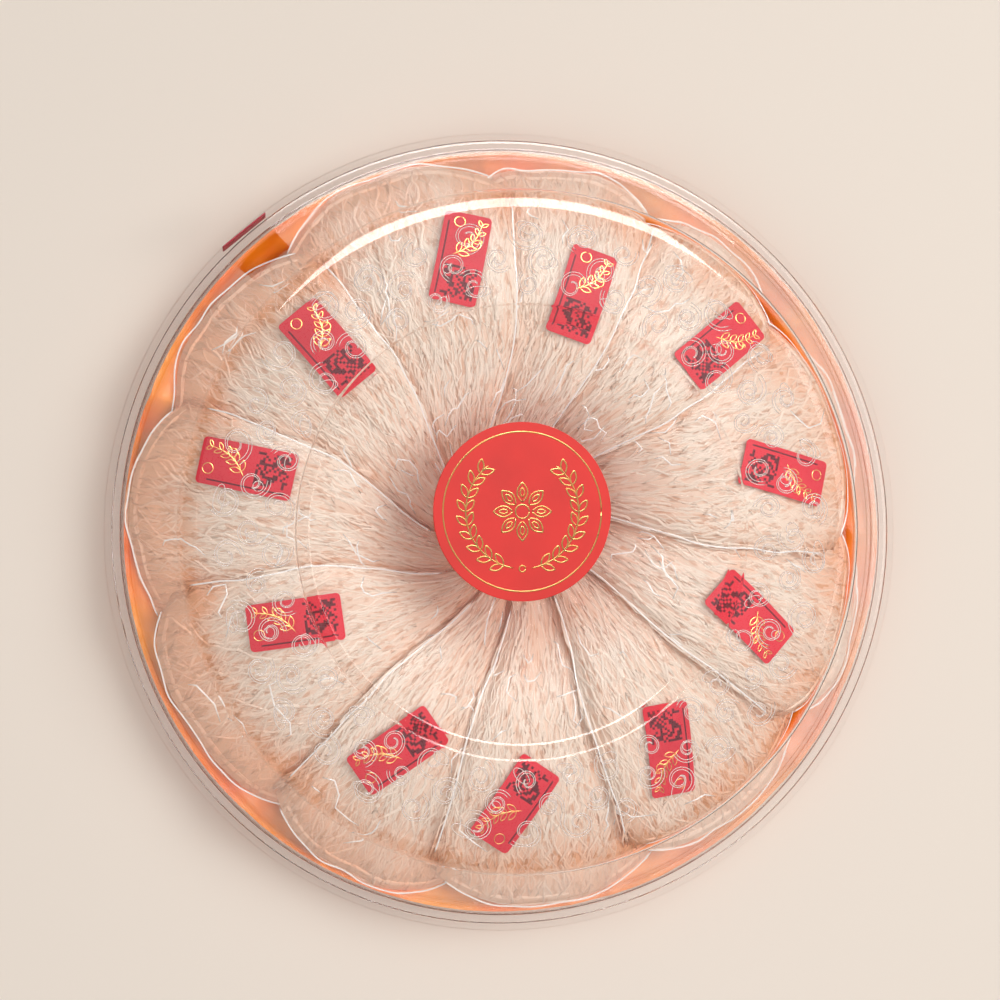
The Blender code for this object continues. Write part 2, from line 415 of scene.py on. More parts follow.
def film_look(name, gloss_share, roughness, painted_glint=0.0):
    """Thin crinkled film: seen by its gloss; on its creases a white diffuse is mixed in as a
    painted glint.
    """
    look = bpy.data.materials.new(name)
    look.use_nodes = True
    tree = look.node_tree
    tree.nodes.remove(tree.nodes["Principled BSDF"])
    place = node(tree, "ShaderNodeTexCoord").outputs["Object"]
    crinkle = bump(tree, noise(tree, place, 260.0, 2.0, 0.6), 0.0009, 0.8)
    values = {"Color": rgb(1, 1, 1), "Roughness": roughness, "Normal": crinkle}
    gloss = node(tree, "ShaderNodeBsdfGlossy", values).outputs[0]
    edge = node(tree, "ShaderNodeFresnel", {"IOR": 1.45}).outputs[0]
    amount = maths(tree, "MULTIPLY", edge, gloss_share)
    body = node(tree, "ShaderNodeBsdfTransparent", {"Color": rgb(0.99, 0.985, 0.98)}).outputs[0]
    if painted_glint:
        # Painted glint: a lit white diffuse mixed into the film on its creases
        cloud_and_glint = node(tree, "ShaderNodeBsdfDiffuse", {"Color": rgb(0.98, 0.95, 0.93)}).outputs[0]
        body = node(tree, "ShaderNodeMixShader", {0: painted_glint, 1: body, 2: cloud_and_glint}).outputs[0]
    mixed = node(tree, "ShaderNodeMixShader", {0: amount, 1: body, 2: gloss})
    tree.links.new(mixed.outputs[0], output_of(tree).inputs[0])
    return look


def paper_look(name, colour, roughness=0.42, coat=0.15):
    coated = {"Coat_Weight": coat, "Coat_Roughness": 0.25}
    look, tree, shader, place = new_look(name, colour, roughness, **coated)
    fibres = noise(tree, place, 700.0, 3.0)
    darker = tuple(0.86 * part for part in colour[:3]) + (1.0,)
    tone = mix_colour(tree, remap(tree, noise(tree, place, 60.0, 2.0), 0.35, 0.7), colour, darker)
    tree.links.new(tone, shader.inputs["Base Color"])
    tree.links.new(bump(tree, fibres, 0.00004, 0.5), shader.inputs["Normal"])
    return look, tree, shader, tone


def inside(tree, value, low, high):
    """1 where value lies between low and high, else 0."""
    above = maths(tree, "GREATER_THAN", value, low)
    return maths(tree, "MULTIPLY", above, maths(tree, "LESS_THAN", value, high))


def label_look():
    """Red card: a dark square of random modules on one half, a plain dark rule along one edge."""
    red = rgb(0.80, 0.040, 0.068)
    look, tree, shader, tone = paper_look("label_paper", red, roughness=0.6, coat=0.0)
    shader.inputs["Specular IOR Level"].default_value = 0.2
    print_map = node(tree, "ShaderNodeUVMap", uv_map="Print").outputs[0]
    parts = node(tree, "ShaderNodeSeparateXYZ", {0: print_map})
    x, y = parts.outputs[0], parts.outputs[1]
    modules = 13.0
    square_x = maths(tree, "DIVIDE", maths(tree, "ADD", x, 0.0132), 0.0105)
    square_y = maths(tree, "DIVIDE", maths(tree, "ADD", y, 0.0060), 0.0105)
    cell_x = maths(tree, "FLOOR", maths(tree, "MULTIPLY", square_x, modules))
    cell_y = maths(tree, "FLOOR", maths(tree, "MULTIPLY", square_y, modules))
    cell = node(tree, "ShaderNodeCombineXYZ", {0: cell_x, 1: cell_y}).outputs[0]
    dots = node(tree, "ShaderNodeTexWhiteNoise", {0: cell}, noise_dimensions="2D").outputs[0]
    dots = maths(tree, "GREATER_THAN", dots, 0.48)
    within_x = inside(tree, square_x, 0.0, 1.0)
    within = maths(tree, "MULTIPLY", within_x, inside(tree, square_y, 0.0, 1.0))
    ink = maths(tree, "MULTIPLY", dots, within)
    along_rule = inside(tree, x, -0.0128, 0.0115)
    rule = maths(tree, "MULTIPLY", inside(tree, y, 0.0056, 0.0061), along_rule)
    ink = maths(tree, "MAXIMUM", ink, rule)
    ink = maths(tree, "MULTIPLY", ink, 0.9)
    printed = mix_colour(tree, ink, tone, rgb(0.05, 0.010, 0.018))
    tree.links.new(printed, shader.inputs["Base Color"])
    return look


def foil_look():
    look, tree, shader, place = new_look("gold_foil", rgb(0.86, 0.52, 0.17), 0.32, Metallic=0.85)
    worn = noise(tree, place, 420.0, 3.0)
    light, deep = rgb(0.88, 0.56, 0.20), rgb(0.74, 0.34, 0.10)
    tone = mix_colour(tree, remap(tree, worn, 0.4, 0.7), light, deep)
    tree.links.new(tone, shader.inputs["Base Color"])
    tree.links.new(remap(tree, worn, 0.3, 0.7, 0.26, 0.48), shader.inputs["Roughness"])
    return look


def floor_look():
    plain = rgb(0.85, 0.78, 0.70)
    look, tree, shader, place = new_look("floor", plain, 0.85, Specular_IOR_Level=0.2)
    cloud_and_glint = noise(tree, place, 1.1, 2.0)
    deep, light = rgb(0.79, 0.735, 0.665), rgb(0.82, 0.76, 0.69)
    tone = mix_colour(tree, remap(tree, cloud_and_glint, 0.3, 0.7), deep, light)
    tree.links.new(tone, shader.inputs["Base Color"])
    return look


# The law of the nests, as in the part


def lead_angle(index, radius):
    angle, curl, _ = NESTS[index % len(NESTS)]
    turns = math.tau * (index // len(NESTS))
    lap = math.tau if angle < NESTS[0][0] else 0.0
    reach = np.maximum(CURL_START - radius, 0) / (CURL_START - NEST_INNER)
    return math.radians(angle) + lap + turns + math.radians(curl) * reach**CURL_POWER


def trail_angle(index, radius):
    return lead_angle(index + 1, radius) + np.minimum(NEST_OVERLAP / radius, NEST_MOST_OVERLAP)


def end_radius(index, across):
    ragged = RAGGED * lattice_noise(across * 6, index * 2.7, 90)
    return NESTS[index][2] - SHORTER - NEST_CORNER * np.abs(2 * across - 1) ** 2.6 + ragged


def nest_height(index, radius, across):
    along = np.clip((radius - NEST_INNER) / (NESTS[index][2] - NEST_INNER), 0.0, 1.0)
    bow = np.sin(math.pi * along)
    arch = NEST_RISE * bow + NEST_CROWN * bow * 4 * across * (1 - across)
    tilt = NEST_TILT * (1 - NEST_TILT_AT_END * along**4) * (1 - across)
    rest = BED_TOP + BED_LIP_RISE * along**NEST_LIP_POWER + GAP + NEST_THICKNESS + RIDGE
    return rest + arch + tilt


def nest_place(index, along, across, down):
    """Points at a share of the nest's length and width, and at a depth below its rounded top."""
    end = end_radius(index, np.clip(across, 0, 1))
    radius = NEST_INNER + along * (end - NEST_INNER)
    lead = lead_angle(index, radius)
    span = trail_angle(index, radius) - lead
    turn = lead + across * span
    from_edge = np.maximum(across, 0) * span * radius
    from_end = np.maximum(1 - along, 0) * (end - NEST_INNER)
    drop = EDGE_DROP * np.clip(1 - from_edge / EDGE_ROUND, 0, 1) ** 2
    drop = drop + EDGE_DROP * np.clip(1 - from_end / EDGE_ROUND, 0, 1) ** 2
    height = nest_height(index, radius, np.clip(across, 0, 1)) - drop - down
    return np.stack([radius * np.cos(turn), radius * np.sin(turn), height], axis=-1)


def relief_of(index, along, across):
    """How far the strands sink below the smooth top: pleats along the nest, and small lumps."""
    pleats = lattice_noise(along * 3 + 3, across * 7 + 5, 40 + index)
    small = lattice_noise(along * 15, across * 15, 60 + index)
    return PLEAT_DEPTH * (0.5 + 0.5 * pleats) ** 1.5 + LUMP_DEPTH * (0.5 + 0.5 * small)


def contact_shade(index, along, across):
    """Painted contact shade, from 0 to 1 close beside the next nest's raised edge and below it."""
    radius = NEST_INNER + along * (end_radius(index, np.clip(across, 0, 1)) - NEST_INNER)
    lead = lead_angle(index, radius)
    turn = lead + across * (trail_angle(index, radius) - lead)
    apart = (lead_angle(index + 1, radius) - turn) * radius
    return np.exp(-((np.maximum(apart, 0) / CONTACT_SHADE_WIDTH) ** 2))


def tint_of(index, along, across):
    """From 0, ivory, to 1, salmon: at the outer end the satin shows through the thin layer, with
    painted shade making it stronger on the west side; at the inner end painted reflection of the
    red sticker and painted shade; beside the next nest's raised edge painted contact shade.
    """
    patch = 0.5 + 0.5 * lattice_noise(along * 9, across * 8, 80 + index)
    # Painted shade: the outer ends turn more salmon on nests on the west side, away from the lamps
    west_shade = 0.5 - 0.5 * math.cos(float(lead_angle(index, 0.11)) + 0.25)
    outer = smooth_step((along - 0.74) / 0.24) * (0.06 + 0.62 * west_shade + 0.60 * patch)
    # Painted reflection of the red sticker and painted shade at the inner ends
    inner_reflection_shade = 0.18 * smooth_step((0.34 - along) / 0.26)
    return np.clip(outer + inner_reflection_shade + 0.30 * contact_shade(index, along, across), 0, 1)


def strand_paths(index):
    """Wandering strands over the whole nest, and rolls of them at its raised edge and outer end."""
    rng = np.random.default_rng(100 + index)
    count = STRANDS + EDGE_STRANDS + END_STRANDS
    share = np.linspace(0, 1, STRAND_POINTS)[None, :]
    to_end = rng.uniform(size=count) < 0.45
    stop = np.where(to_end, rng.uniform(0.965, REACH, count), 0.0)
    start = np.where(to_end, stop - rng.uniform(0.25, 0.6, count), rng.uniform(-0.01, 0.55, count))
    stop = np.where(to_end, stop, start + rng.uniform(0.25, 0.5, count))
    along = start[:, None] + share * (np.minimum(stop, REACH) - start)[:, None]
    middle = rng.uniform(0.0, 1.0, (count, 1))
    drift = rng.normal(0, 0.13, (count, 1))
    across = middle + drift * (share - 0.5)
    for reach, shortest, longest in ((0.0012, 0.009, 0.017), (0.0004, 0.005, 0.008)):
        wavelength = rng.uniform(shortest, longest, (count, 1))
        phase = rng.uniform(0, math.tau, (count, 1))
        amount = rng.uniform(0.3, 1.0, (count, 1)) * reach / NEST_WIDTH
        across = across + amount * np.sin(math.tau * along * NEST_LENGTH / wavelength + phase)
    flow = lattice_noise(along * NEST_LENGTH / 0.024, across * NEST_WIDTH / 0.010, 20 + index)
    across = across + 0.0011 / NEST_WIDTH * flow
    layer = STRAND_LAYERS * rng.uniform(0, 1, count) ** 1.2
    strand = np.arange(count)[:, None] * 1.37
    weave = 0.00025 * lattice_noise(along * NEST_LENGTH / 0.008, strand, 30 + index)

    edge = slice(STRANDS, STRANDS + EDGE_STRANDS)
    end = slice(STRANDS + EDGE_STRANDS, count)
    roll = rng.uniform(0, 1, count)
    around = np.sqrt(1 - roll**2)[:, None]
    across[edge] = 0.25 * (across[edge] - middle[edge]) + 0.018 * around[edge] - 0.012
    from_side = np.linspace(0.02, 0.98, STRAND_POINTS)[None, :]
    frayed = 0.006 * lattice_noise(from_side * 9, strand[end], 70 + index)
    along[end] = REACH - 0.030 * around[end] + frayed
    across[end] = from_side
    layer[STRANDS:] = roll[STRANDS:] * (NEST_THICKNESS - EDGE_DROP)
    down = relief_of(index, along, across) + layer[:, None] + weave
    return along, np.clip(across, -0.03, 1.02), np.maximum(down, 0.0), layer, rng


def set_points(mesh, name, values):
    attribute = mesh.attributes.new(name, "FLOAT", "POINT")
    attribute.data.foreach_set("value", np.asarray(values, np.float32).ravel())


def set_flow(mesh, index, along, across):
    """Where points lie along and across the nest, in metres, for textures that follow strands."""
    place = [along * NEST_LENGTH, across * NEST_WIDTH, np.full(along.shape, float(index))]
    attribute = mesh.attributes.new("flow", "FLOAT_VECTOR", "POINT")
    attribute.data.foreach_set("vector", np.stack(place, axis=-1).astype(np.float32).ravel())


def strand_uvs(count, steps, columns, top):
    """Corners of the quads of beads(): each side of each strand has its own strip below top."""
    strips = np.arange(count * 3).reshape(count, 1, 3)
    rows = math.ceil(count * 3 / columns)
    segment = np.arange(steps - 1).reshape(1, -1, 1)
    corners = []
    for low, high in ((0, 0.1), (0, 0.9), (1, 0.9), (1, 0.1)):
        u = (strips % columns + 0.02 + 0.96 * (segment + low) / (steps - 1)) / columns
        v = (strips // columns + high) / rows * top + 0 * segment
        corners.append(np.stack([u, v], axis=-1))
    return np.stack(corners, axis=3).reshape(-1, 2)


def cap_uvs(count, columns, top):
    """Small triangles in the ends of each strand's first strip, for its two caps."""
    strips = np.arange(count) * 3
    rows = math.ceil(count * 3 / columns)
    u = (strips % columns) / columns
    v = (strips // columns) / rows * top
    ends = []
    for side in (0.003, 0.985):
        for step, rise in ((0.0, 0.2), (0.010, 0.5), (0.0, 0.8)):
            ends.append(np.stack([u + (side + step) / columns, v + rise / rows * top], axis=-1))
    first = np.stack(ends[:3], axis=1).reshape(-1, 2)
    last = np.stack(ends[3:], axis=1).reshape(-1, 2)
    return np.concatenate([first, last])


def make_nest(index, look):
    """Strands over a closed web of the same form, as one mesh."""
    along, across, down, layer, rng = strand_paths(index)
    count = len(layer)
    paths = nest_place(index, along, across, down)
    thick = rng.uniform(size=count) < THICK_SHARE
    half_width = rng.uniform(*THICK_HALF_WIDTH, count)
    half_width = np.where(thick, half_width, rng.uniform(*FINE_HALF_WIDTH, count))
    points, quads, caps = beads(paths, half_width, half_width * STRAND_FLATNESS)
    # Shade: a random tone per strand, and painted shade on strands that lie deeper in the layers
    shade = rng.uniform(0.95, 1.03, count) * (1 - 0.04 * np.minimum(layer / STRAND_LAYERS, 1))
    shade = np.repeat(shade, STRAND_POINTS * 3)

    rows, columns = WEB_ROWS, WEB_COLUMNS
    web_along = np.linspace(0.0, REACH - 0.008, rows)[:, None]
    web_across = np.linspace(0.0, 1.0, columns)[None, :]
    web_along, web_across = np.broadcast_arrays(web_along, web_across)
    ridges = 0.0003 * lattice_noise(web_along * 12, web_across * 40, 50 + index)
    lumps = relief_of(index, web_along, web_across)
    top = nest_place(index, web_along, web_across, WEB_DEPTH + lumps + ridges)
    under = nest_place(index, web_along, web_across, NEST_THICKNESS)
    under[..., 2] = np.minimum(under[..., 2], top[..., 2] - 0.0004)
    offset = len(points)
    web = grid_faces(rows, columns, offset, flip=True)
    below = grid_faces(rows, columns, offset + rows * columns)
    rim = border_faces(rows, columns, offset, offset + rows * columns)
    points = np.concatenate([points, top.reshape(-1, 3), under.reshape(-1, 3)])
    faces = quads.tolist() + web.tolist() + below.tolist() + rim.tolist() + caps.tolist()
    nest = new_object(f"nest_{index + 1:02d}_strands", points, faces, look, sharp=100)

    sheets = [web_along.ravel(), web_along.ravel()]
    along = np.concatenate([np.repeat(along, 3, axis=1).ravel(), *sheets])
    sheets = [web_across.ravel(), web_across.ravel()]
    across = np.concatenate([np.repeat(across, 3, axis=1).ravel(), *sheets])
    tint = tint_of(index, along, across)
    # The web below the strands is painted warmer and darker: painted shade in the gaps, partly the
    # satin showing through
    tint[offset:] = np.clip(tint[offset:] + 0.24, 0, 1)
    shade = np.concatenate([shade, np.full(rows * columns * 2, 0.94)])
    # Painted contact shade: a little darker beside and below the next nest's raised edge
    shade = shade * (1 - 0.02 * contact_shade(index, along, across))
    set_points(nest.data, "tint", tint)
    set_points(nest.data, "shade", shade)
    set_flow(nest.data, index, along, across)

    strips_top = 0.80
    web_u = web_across * 0.48 + 0.01
    web_v = strips_top + 0.02 + web_along * 0.15
    sheet_uvs = [np.concatenate([web_u, web_u + 0.5]), np.concatenate([web_v, web_v])]
    sheet_uvs = np.stack(sheet_uvs, axis=-1).reshape(-1, 2)
    around = np.linspace(0.01, 0.99, len(rim) + 1)
    low, high = np.full(len(rim), 0.985), np.full(len(rim), 0.995)
    start, stop = around[:-1], around[1:]
    rim_uvs = np.stack([start, high, stop, high, stop, low, start, low], axis=-1)
    corners = [
        strand_uvs(count, STRAND_POINTS, 4, strips_top),
        sheet_uvs[np.concatenate([web, below]).ravel() - offset],
        rim_uvs.reshape(-1, 2),
        cap_uvs(count, 4, strips_top),
    ]
    layer = nest.data.uv_layers.new(name="OFBake")
    layer.data.foreach_set("uv", np.concatenate(corners).astype(np.float32).ravel())
    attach(nest, "root")
    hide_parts(f"nest_{index + 1:02d}")


def border_faces(rows, columns, top, under):
    """Quads that close the gap between two like grids all round."""
    index = np.arange(rows * columns).reshape(rows, columns)
    loop = np.concatenate([index[0, :], index[1:, -1], index[-1, -2::-1], index[-2:0:-1, 0]])
    following = np.roll(loop, -1)
    return np.stack([loop + top, following + top, following + under, loop + under], axis=-1)


def sheet_object(name, top, thickness, look):
    """A thin closed sheet below a grid of points, with crisp edges."""
    rows, columns, _ = top.shape
    points = np.concatenate([top.reshape(-1, 3), top.reshape(-1, 3) - UP * thickness])
    faces = grid_faces(rows, columns, flip=True).tolist()
    faces += grid_faces(rows, columns, rows * columns).tolist()
    faces += border_faces(rows, columns, 0, rows * columns).tolist()
    return new_object(name, points, faces, look, sharp=40)


def label_frame(index):
    radius, past, turned_by = LABELS[index]
    middle = float(lead_angle(index, radius)) + math.radians(past)
    long_way = middle + math.radians(turned_by)
    centre = np.array((radius * math.cos(middle), radius * math.sin(middle)))
    along = np.array((math.cos(long_way), math.sin(long_way)))
    return centre, along, np.array((-along[1], along[0]))


def on_label(index, x, y, lift):
    """A flat place on the label, in metres from its middle, laid on the nest's smooth top."""
    centre, along, side = label_frame(index)
    spot = centre + np.asarray(x)[..., None] * along + np.asarray(y)[..., None] * side
    radius = np.hypot(spot[..., 0], spot[..., 1])
    lead = lead_angle(index, radius)
    span = trail_angle(index, radius) - lead
    across = ((np.arctan2(spot[..., 1], spot[..., 0]) - lead + math.pi) % math.tau - math.pi) / span
    height = nest_height(index, radius, across) + RIDGE + GAP + lift
    return np.concatenate([spot, height[..., None]], axis=-1)


def crease_lines(index):
    """Creases of the film: a seam by the raised edge, one at the outer end, and short zigzags."""
    rng = np.random.default_rng(400 + index)
    share = np.linspace(0, 1, 48)
    wander = 0.010 * lattice_noise(share * 9, index * 3.1, 450)
    lines = [nest_place(index, 0.06 + 0.90 * share, wander - 0.012, 0 * share)]
    lines.append(nest_place(index, REACH + 0.6 * wander, 0.06 + 0.88 * share, 0 * share))
    centre, _, _ = label_frame(index)
    for _ in range(CREASES):
        along, across = rng.uniform(0.12, 0.95), rng.uniform(0.05, 0.80)
        heading = rng.uniform(0, math.tau)
        spots = [(along, across)]
        for _ in range(rng.integers(2, 6)):
            run = rng.uniform(0.0015, 0.0055)
            along += run * math.cos(heading) / NEST_LENGTH
            across += run * math.sin(heading) / NEST_WIDTH
            heading += rng.uniform(-1.3, 1.3)
            spots.append((along, across))
        spots = np.array(spots)
        lifted = np.full(len(spots), -0.0004)
        line = nest_place(index, spots[:, 0], np.clip(spots[:, 1], 0, 0.95), lifted)
        if np.hypot(line[:, 0] - centre[0], line[:, 1] - centre[1]).min() > 0.017:
            lines.append(line)
    return lines


def make_film(index, look, crease_glint_look):
    """A crinkled sleeve over the nest, smooth where the label is stuck on it."""
    rows, columns = FILM_ROWS, FILM_COLUMNS
    along = np.linspace(0.02, REACH, rows)[:, None] + np.zeros((1, columns))
    across = np.linspace(-0.015, 1.0, columns)[None, :] + np.zeros((rows, 1))
    creased = 1 - np.abs(lattice_noise(along * 8, across * 5 + along * 4, 200 + index))
    fine = 1 - np.abs(lattice_noise(along * 19 + across * 5, across * 13, 220 + index))
    lift = 0.0010 * creased**3 + 0.0007 * fine**3
    points = nest_place(index, along, across, 0 * along)
    centre, _, _ = label_frame(index)
    apart = np.hypot(points[..., 0] - centre[0], points[..., 1] - centre[1])
    lift = lift * smooth_step((apart - 0.013) / 0.008)
    points[..., 2] += FILM_LIFT + lift
    creases, faces = bead_mesh(crease_lines(index), CREASE_HALF_WIDTH, CREASE_HEIGHT)
    faces = [[corner + rows * columns for corner in face] for face in faces]
    faces = grid_faces(rows, columns, flip=True).tolist() + faces
    points = np.concatenate([points.reshape(-1, 3), creases])
    film = new_object(f"film_{index + 1:02d}", points, faces, look, sharp=100)
    film.data.materials.append(crease_glint_look)
    on_crease = np.arange(len(film.data.polygons)) >= (rows - 1) * (columns - 1)
    film.data.polygons.foreach_set("material_index", on_crease.astype(np.int32))
    film.visible_shadow = False
    film.visible_diffuse = False
    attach(film, "root")


# Line ornaments, drawn flat in metres and then laid on a surface


def circle(centre, radius, steps=20, start=0.0, sweep=math.tau):
    turn = start + np.linspace(0, sweep, steps)
    return np.stack([centre[0] + radius * np.cos(turn), centre[1] + radius * np.sin(turn)], axis=-1)


def headed(base, heading, x, y):
    """Flat points turned by heading round zero and then moved to base."""
    turned_x = base[0] + x * math.cos(heading) - y * math.sin(heading)
    turned_y = base[1] + x * math.sin(heading) + y * math.cos(heading)
    return np.stack([turned_x, turned_y], axis=-1)


def leaf(base, heading, length, width, steps=9):
    """The outline of a pointed leaf."""
    share = np.linspace(0, 1, steps)
    bulge = width / 2 * np.sin(math.pi * share) ** 0.9
    x = np.concatenate([share * length, share[::-1] * length])
    return headed(base, heading, x, np.concatenate([bulge, -bulge[::-1]]))


def spray(start, end, bend, leaves, leaf_length, leaf_width):
    """A bent stem with leaves on both sides."""
    share = np.linspace(0, 1, 14)
    start = np.array(start)
    end = np.array(end)
    run = end - start
    normal = np.array((-run[1], run[0]))
    stem = start + share[:, None] * run + (bend * np.sin(math.pi * share))[:, None] * normal
    lines = [stem]
    for step in range(leaves):
        place = (step + 0.6) / leaves
        spot = start + place * run + bend * math.sin(math.pi * place) * normal
        heading = math.atan2(run[1], run[0]) + bend * math.cos(math.pi * place) * 2.2
        size = 1 - 0.45 * place
        for side in (-1, 1):
            lines.append(leaf(spot, heading + side * 0.75, leaf_length * size, leaf_width * size))
    return lines


def label_ornament():
    lines = spray((0.0004, 0.0030), (0.0128, -0.0048), -0.14, 5, 0.0040, 0.0017)
    lines += [circle((0.0052, -0.0040), 0.0014, 14), circle((0.0118, 0.0024), 0.0017, 16)]
    return lines


def make_label(index, look, foil):
    turn = np.linspace(0, math.pi / 2, 7)
    corner_x = LABEL_LENGTH / 2 - LABEL_CORNER * (1 - np.sin(turn))
    corner_y = LABEL_WIDTH / 2 - LABEL_CORNER * (1 - np.cos(turn))
    middle = np.linspace(-corner_x[0], corner_x[0], 17)[1:-1]
    x = np.concatenate([-corner_x[::-1], middle, corner_x])
    half = np.concatenate([corner_y[::-1], np.full(len(middle), LABEL_WIDTH / 2), corner_y])
    columns = 13
    y = half[:, None] * np.linspace(-1, 1, columns)[None, :]
    x = x[:, None] + np.zeros((1, columns))
    points = on_label(index, x, y, LABEL_THICKNESS)
    label = sheet_object(f"label_{index + 1:02d}_card", points, LABEL_THICKNESS, look)
    flat = np.stack([x, y], axis=-1).reshape(-1, 2)
    flat = np.concatenate([flat, flat])
    layer = label.data.uv_layers.new(name="Print")
    corner = np.zeros(len(label.data.loops), int)
    label.data.loops.foreach_get("vertex_index", corner)
    layer.data.foreach_set("uv", flat[corner].astype(np.float32).ravel())
    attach(label, "root")
    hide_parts(f"label_{index + 1:02d}")
    lift = LABEL_THICKNESS + FOIL_LIFT
    lines = [on_label(index, line[:, 0], line[:, 1], lift) for line in label_ornament()]
    gold = bead_object(f"label_{index + 1:02d}_foil", lines, *LABEL_FOIL, foil)
    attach(gold, "root")


def make_sticker(look, foil):
    """A round card with a soft edge, and a wreath round a rosette in gold foil on it."""
    top = LID_TOP - RING_DROP + GAP + LABEL_THICKNESS
    soft = 0.00012
    under = top - LABEL_THICKNESS
    profile = [(0.0001, top), (0.010, top), (0.020, top), (STICKER_RADIUS - 3 * soft, top)]
    profile += [(STICKER_RADIUS - soft, top), (STICKER_RADIUS, top - soft)]
    profile += [(STICKER_RADIUS, under), (0.0001, under)]
    sticker = turned("sticker_card", profile, look, 128)
    sticker.data.transform(mathutils.Matrix.Translation((*STICKER_CENTRE, 0)))
    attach(sticker, "root")
    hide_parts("sticker")
    lines = [circle((0, 0), 0.0022, 24)]
    for petal in range(8):
        turn = petal * math.tau / 8
        base = (0.0030 * math.cos(turn), 0.0030 * math.sin(turn))
        lines.append(leaf(base, turn, 0.0062, 0.0034, 14))
        small = (0.0045 * math.cos(turn), 0.0045 * math.sin(turn))
        lines.append(leaf(small, turn, 0.0030, 0.0014, 9))
    for side in (-1, 1):
        stem = circle((0, 0), 0.0180, 40, -math.pi / 2 + side * 0.16, side * 2.35)
        lines.append(stem)
        for step in range(9):
            turn = -math.pi / 2 + side * (0.34 + step * 0.245)
            spot = (0.0180 * math.cos(turn), 0.0180 * math.sin(turn))
            for lean in (-0.62, 0.62):
                heading = turn + side * math.pi / 2 + lean
                lines.append(leaf(spot, heading, 0.0046, 0.0019, 10))
    lines.append(circle((0, -0.0180), 0.0010, 14))
    lines.append(circle((0, 0), 0.0252, 96))
    laid = [np.column_stack([line, np.full(len(line), top + FOIL_LIFT)]) for line in lines]
    laid = [line + np.array((*STICKER_CENTRE, 0)) for line in laid]
    gold = bead_object("sticker_foil", laid, *STICKER_FOIL, foil)
    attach(gold, "root")


def make_seal(look):
    """A paper strip at a tangent to the rim, its top leaning outwards."""
    rows, columns = 21, 9
    along = np.linspace(-0.5, 0.5, rows)[:, None] * SEAL_LENGTH + np.zeros((1, columns))
    up = np.linspace(-0.5, 0.5, columns)[None, :] * SEAL_HEIGHT + np.zeros((rows, 1))
    out = LID_RIM_RADIUS + SEAL_CLEARANCE + SEAL_HEIGHT / 2 * math.sin(SEAL_LEAN)
    middle = TRAY_DEPTH + SHEET + GAP + SEAL_HEIGHT / 2
    leaning = up * math.sin(SEAL_LEAN)
    facing = SEAL_ANGLE - SEAL_TURN
    x = out * math.cos(SEAL_ANGLE) + leaning * math.cos(facing) - along * math.sin(facing)
    y = out * math.sin(SEAL_ANGLE) + leaning * math.sin(facing) + along * math.cos(facing)
    points = np.stack([x, y, middle + up * math.cos(SEAL_LEAN)], axis=-1).reshape(-1, 3)
    seal = new_object("seal_tab", points, grid_faces(rows, columns).tolist(), look)
    paper = seal.modifiers.new("Paper", "SOLIDIFY")
    paper.thickness = SEAL_THICKNESS
    paper.offset = 0
    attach(seal, "root")
    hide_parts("seal")


# Turned parts


def filleted(before, corner, after, radius, steps):
    """Points of the arc of this radius that rounds the corner between two straight runs."""
    corner = np.array(corner, float)
    back = unit(np.array(before, float) - corner)
    on = unit(np.array(after, float) - corner)
    half = math.acos(float(np.clip(back @ on, -1, 1))) / 2
    centre = corner + unit(back + on) * (radius / math.sin(half))
    start = corner + back * (radius / math.tan(half)) - centre
    end = corner + on * (radius / math.tan(half)) - centre
    whole = math.acos(float(np.clip(unit(start) @ unit(end), -1, 1)))
    turns = np.linspace(0, whole, steps + 1)
    arc = [math.sin(whole - turn) * start + math.sin(turn) * end for turn in turns]
    return [tuple(centre + point / math.sin(whole)) for point in arc]


def turned(name, profile, look, steps, sheet=0.0):
    """A surface of revolution; sheet is the thickness of a shell that grows inwards from it."""
    profile = np.array(profile, float)
    turn = np.arange(steps) * math.tau / steps
    x = profile[:, :1] * np.cos(turn)
    y = profile[:, :1] * np.sin(turn)
    z = profile[:, 1:] + np.zeros((1, steps))
    points = np.stack([x, y, z], axis=-1).reshape(-1, 3)
    faces = grid_faces(len(profile), steps, closed=True, flip=True).tolist()
    faces.append(list(range(steps)))
    if not sheet:
        faces.append(list(range(len(points) - steps, len(points)))[::-1])
    made = new_object(name, points, faces, look, sharp=35)
    if sheet:
        shell = made.modifiers.new("Sheet", "SOLIDIFY")
        shell.thickness = sheet
        shell.offset = -1
        shell.use_even_offset = True
    return made


def make_lid(look):
    top = LID_TOP
    middle = LID_TOP - RING_DROP
    flange = LID_FLANGE_TOP
    shoulder = (SHOULDER_RADIUS, top)
    foot = (FLANGE_RADIUS, flange)
    profile = [(0.0001, middle), (0.030, middle), (0.055, middle)]
    profile += filleted((0, middle), (RING_INNER, middle), (RING_OUTER, top), RING_FILLET, 5)
    profile += filleted((RING_INNER, middle), (RING_OUTER, top), shoulder, RING_FILLET, 5)
    profile += [(0.080, top), (0.099, top), (0.100, top)]
    profile += filleted((RING_OUTER, top), shoulder, foot, SHOULDER_FILLET, 14)
    wall = np.array(foot) - shoulder
    profile += [tuple(np.array(shoulder) + share * wall) for share in (0.3, 0.6, 0.85)]
    profile += filleted(shoulder, foot, (LID_RIM_RADIUS, flange), FOOT_FILLET / 3, 4)
    profile.append((0.1262, flange))
    profile += [(LID_RIM_RADIUS - 0.0003, flange), (LID_RIM_RADIUS, flange - 0.0002)]
    lid = turned("lid_shell", profile, look, ROUND_STEPS, SHEET)
    lid.visible_shadow = False
    lid.visible_diffuse = False
    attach(lid, "root")
    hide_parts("lid")


